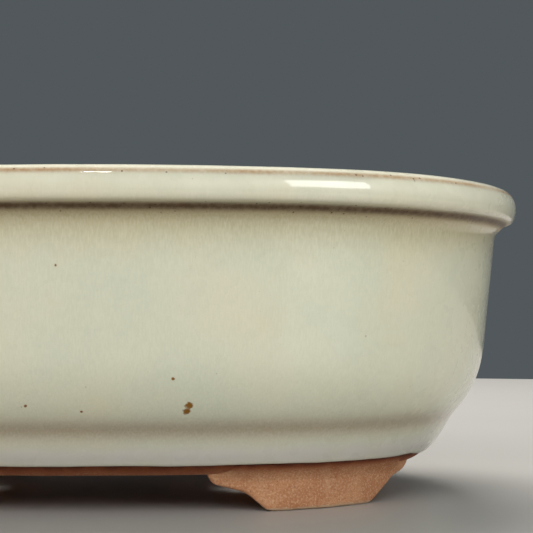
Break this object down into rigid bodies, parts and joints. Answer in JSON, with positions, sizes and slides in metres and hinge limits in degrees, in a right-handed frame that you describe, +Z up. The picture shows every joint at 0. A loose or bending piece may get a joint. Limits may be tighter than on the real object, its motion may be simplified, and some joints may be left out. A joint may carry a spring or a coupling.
{
  "type": "bonsai pot",
  "caption": "Oval glazed stoneware planter with a rolled rim, bracket feet, drainage holes under mesh screens, and tie wire holes.",
  "frame": {"origin": "middle of the ground plane under the pot", "axes": "+X along the length of the oval, +Y across it towards the back, +Z up"},
  "size_m": [0.24, 0.1844, 0.0859],
  "materials": {
    "glaze": "glossy cream glaze, mottled, breaking to brown on edges",
    "bare_clay": "unglazed orange-tan stoneware, fine speckle",
    "screen_plastic": "matt black",
    "clip_wire": "copper-brown anodised, satin"
  },
  "bodies": {
    "root": {"rim_lip": "glaze", "wall": "glaze", "base_band": "glaze", "floor_slab": "bare_clay", "foot_front_left": "bare_clay", "foot_front_right": "bare_clay", "foot_rear_left": "bare_clay", "foot_rear_right": "bare_clay", "drain_screen_left": "screen_plastic", "drain_screen_right": "screen_plastic", "screen_clip_left": "clip_wire", "screen_clip_right": "clip_wire"}
  },
  "joints": []
}
